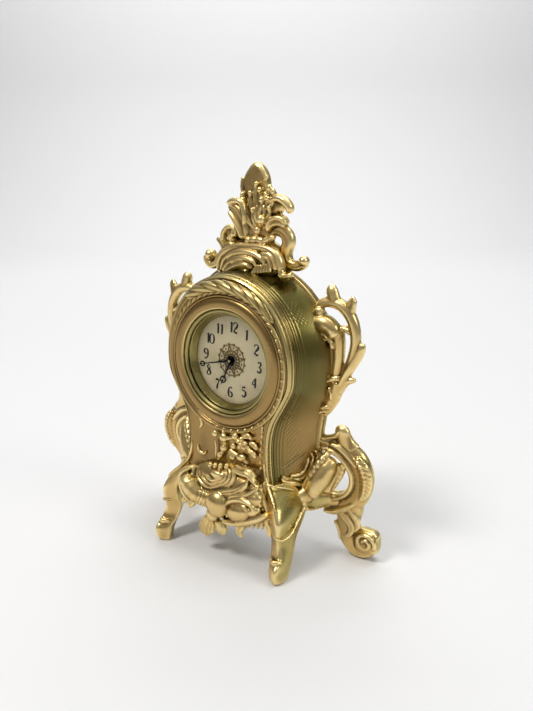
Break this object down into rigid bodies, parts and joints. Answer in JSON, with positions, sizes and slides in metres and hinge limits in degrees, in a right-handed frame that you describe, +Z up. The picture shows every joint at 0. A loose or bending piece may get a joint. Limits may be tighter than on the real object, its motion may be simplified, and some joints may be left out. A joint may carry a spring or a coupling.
{
  "type": "table clock",
  "caption": "Gilt rococo table clock with a round glazed dial in an arched flared case, scroll crest, side handles and scroll feet, holding a spring-driven drum movement.",
  "frame": {"origin": "on the table, at the middle of the clock's box", "axes": "+Z up, +Y from the dial to the back, +X to the right seen from the front"},
  "size_m": [0.1652, 0.0678, 0.2327],
  "materials": {
    "gilt": "satin gilt casting with darker patina in the hollows",
    "brass": "polished brass, slightly tarnished",
    "steel": "polished steel",
    "blued": "dark blued steel",
    "dial": "cream enamel paint with black numerals",
    "glass": "flat clear glass"
  },
  "bodies": {
    "case": {"body_shell": "gilt", "front_plate": "gilt", "dial_surround": "gilt", "rope_moulding": "gilt", "apron": "gilt", "panel_spray": "gilt", "crest": "gilt", "side_handle_right": "gilt", "side_handle_left": "gilt", "rear_leg_right": "gilt", "rear_leg_left": "gilt", "front_leg_right": "gilt", "front_leg_left": "gilt", "back_plate": "gilt", "back_screw_1": "steel", "back_screw_2": "steel", "back_screw_3": "steel", "back_screw_4": "steel", "bezel": "brass", "glass": "glass", "sight_ring": "brass", "dial": "dial", "dial_rosette": "brass", "movement_can": "brass", "can_cap": "brass", "movement_front_plate": "brass", "movement_rear_plate": "brass", "pillar_1": "brass", "pillar_2": "brass", "pillar_3": "brass", "pillar_4": "brass", "hairspring": "blued"},
    "centre": {"centre_wheel": "brass", "cannon_pinion": "steel", "minute_hand": "blued", "hand_nut": "steel", "set_knob": "brass"},
    "hour": {"hour_wheel": "brass", "hour_hand": "blued"},
    "minute_work": {"minute_wheel": "brass"},
    "spring_barrel": {"barrel": "brass", "barrel_cover": "brass", "mainspring": "blued"},
    "third": {"third_wheel": "brass"},
    "fourth": {"fourth_wheel": "brass"},
    "escape": {"escape_wheel": "brass"},
    "lever": {"pallet_lever": "steel"},
    "balance": {"balance_wheel": "brass"},
    "winding": {"winding_arbor": "steel", "winding_key": "brass"},
    "ratchet_click": {"click": "steel"},
    "index": {"regulator": "steel"}
  },
  "joints": [
    {"name": "hands_run", "type": "hinge", "parent": "case", "child": "centre", "pos_m": [0, 0, 0.121], "axis": [0, 1, 0], "continuous": true},
    {"name": "hour_run", "type": "hinge", "parent": "case", "child": "hour", "pos_m": [0, 0, 0.121], "axis": [0, 1, 0], "continuous": true},
    {"name": "minute_work_run", "type": "hinge", "parent": "case", "child": "minute_work", "pos_m": [0.0036, 0, 0.11476], "axis": [0, 1, 0], "continuous": true},
    {"name": "barrel_run", "type": "hinge", "parent": "case", "child": "spring_barrel", "pos_m": [-0.00955, 0, 0.11145], "axis": [0, 1, 0], "continuous": true},
    {"name": "third_run", "type": "hinge", "parent": "case", "child": "third", "pos_m": [0.00859, 0, 0.12959], "axis": [0, 1, 0], "continuous": true},
    {"name": "fourth_run", "type": "hinge", "parent": "case", "child": "fourth", "pos_m": [-0.00159, 0, 0.1329], "axis": [0, 1, 0], "continuous": true},
    {"name": "escape_run", "type": "hinge", "parent": "case", "child": "escape", "pos_m": [-0.01174, 0, 0.12921], "axis": [0, 1, 0], "continuous": true},
    {"name": "lever_rock", "type": "hinge", "parent": "case", "child": "lever", "pos_m": [-0.01708, 0, 0.12387], "axis": [0, 1, 0], "range_deg": [-5, 5]},
    {"name": "balance_swing", "type": "hinge", "parent": "case", "child": "balance", "pos_m": [-0.02057, 0, 0.1185], "axis": [0, 1, 0], "range_deg": [-135, 135], "stiffness_Nm_per_rad": 0.00001},
    {"name": "winding_turn", "type": "hinge", "parent": "case", "child": "winding", "pos_m": [-0.00955, 0, 0.11145], "axis": [0, 1, 0], "range_deg": [-1890, 0]},
    {"name": "click_lift", "type": "hinge", "parent": "case", "child": "ratchet_click", "pos_m": [-0.00251, 0, 0.10706], "axis": [0, 1, 0], "range_deg": [-10, 0]},
    {"name": "index_turn", "type": "hinge", "parent": "case", "child": "index", "pos_m": [-0.02057, 0, 0.1185], "axis": [0, 1, 0], "range_deg": [-25, 25]}
  ],
  "couplings": [
    {"joint": "hour_run", "follows": "hands_run", "ratio": 0.083333},
    {"joint": "minute_work_run", "follows": "hands_run", "ratio": -0.33333},
    {"joint": "barrel_run", "follows": "hands_run", "ratio": -0.125},
    {"joint": "third_run", "follows": "hands_run", "ratio": -8},
    {"joint": "fourth_run", "follows": "hands_run", "ratio": 60},
    {"joint": "escape_run", "follows": "hands_run", "ratio": -480}
  ]
}
